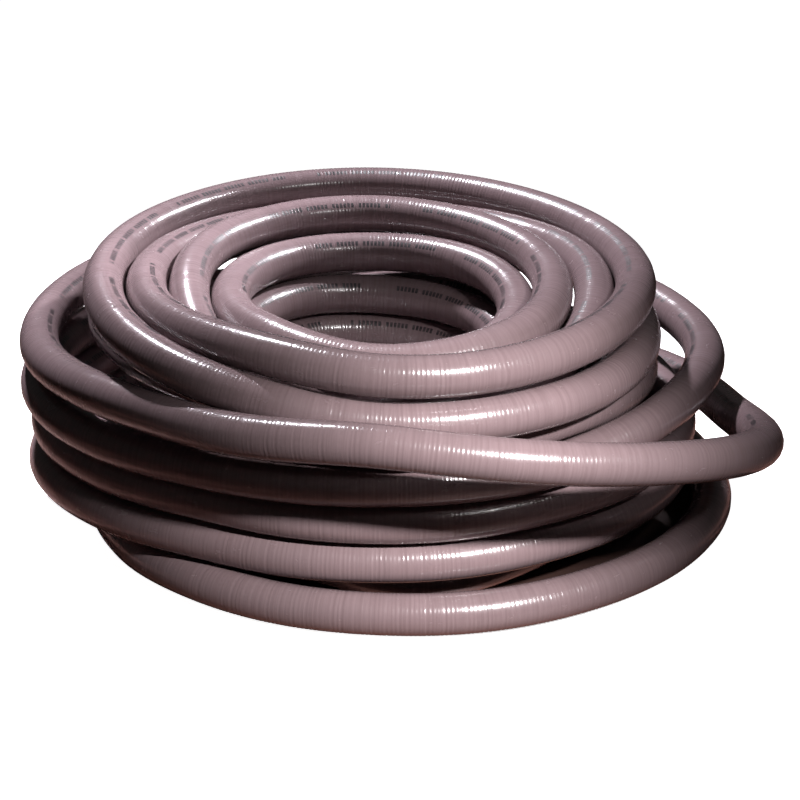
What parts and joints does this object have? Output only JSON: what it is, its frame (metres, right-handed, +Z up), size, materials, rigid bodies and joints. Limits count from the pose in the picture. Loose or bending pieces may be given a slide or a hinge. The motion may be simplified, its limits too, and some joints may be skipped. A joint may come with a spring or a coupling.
{
  "type": "coiled hose kit",
  "caption": "Free-standing coil of smooth ribbed-look PVC drain hose with a clamped swivel-nut coupling on its outer end and a clamped male adapter on its inner end.",
  "frame": {"origin": "on the floor under the middle of the hollow of the coil; the coil rests on Z = 0", "axes": "+Z up; the loose loop's front faces -Y; both couplings point along -X"},
  "size_m": [0.6284, 0.6244, 0.2408],
  "materials": {
    "hose_jacket": "semi-gloss mauve-grey PVC with fine rings",
    "hose_liner": "smooth dark grey PVC bore",
    "coupling": "moulded black nylon",
    "seal": "soft black rubber",
    "clamp_steel": "stamped stainless steel",
    "clamp_screw": "turned stainless steel"
  },
  "bodies": {
    "coil": {"hose_jacket_coil": "hose_jacket", "hose_liner_coil": "hose_liner", "male_adapter": "coupling", "inner_clamp_band": "clamp_steel", "inner_clamp_housing": "clamp_steel"},
    "tail": {"hose_jacket_tail": "hose_jacket", "hose_liner_tail": "hose_liner", "swivel_tailpiece": "coupling", "seal_washer": "seal", "outer_clamp_band": "clamp_steel", "outer_clamp_housing": "clamp_steel"},
    "swivel_nut": {"swivel_nut": "coupling"},
    "inner_clamp_screw": {"inner_clamp_screw": "clamp_screw"},
    "outer_clamp_screw": {"outer_clamp_screw": "clamp_screw"}
  },
  "joints": [
    {"name": "tail_swing", "type": "hinge", "parent": "coil", "child": "tail", "pos_m": [0.22091, 0.19001, 0.056], "axis": [0, 0, -1], "range_deg": [0, 40]},
    {"name": "nut_spin", "type": "hinge", "parent": "tail", "child": "swivel_nut", "pos_m": [-0.05892, 0.28725, 0.028], "axis": [-1, 0, 0], "continuous": true},
    {"name": "outer_clamp_screw_turn", "type": "hinge", "parent": "tail", "child": "outer_clamp_screw", "pos_m": [-0.03992, 0.28725, 0.04925], "axis": [0, 1, 0], "continuous": true},
    {"name": "inner_clamp_screw_turn", "type": "hinge", "parent": "coil", "child": "inner_clamp_screw", "pos_m": [-0.00456, -0.07811, 0.04625], "axis": [0, 1, 0], "continuous": true}
  ]
}
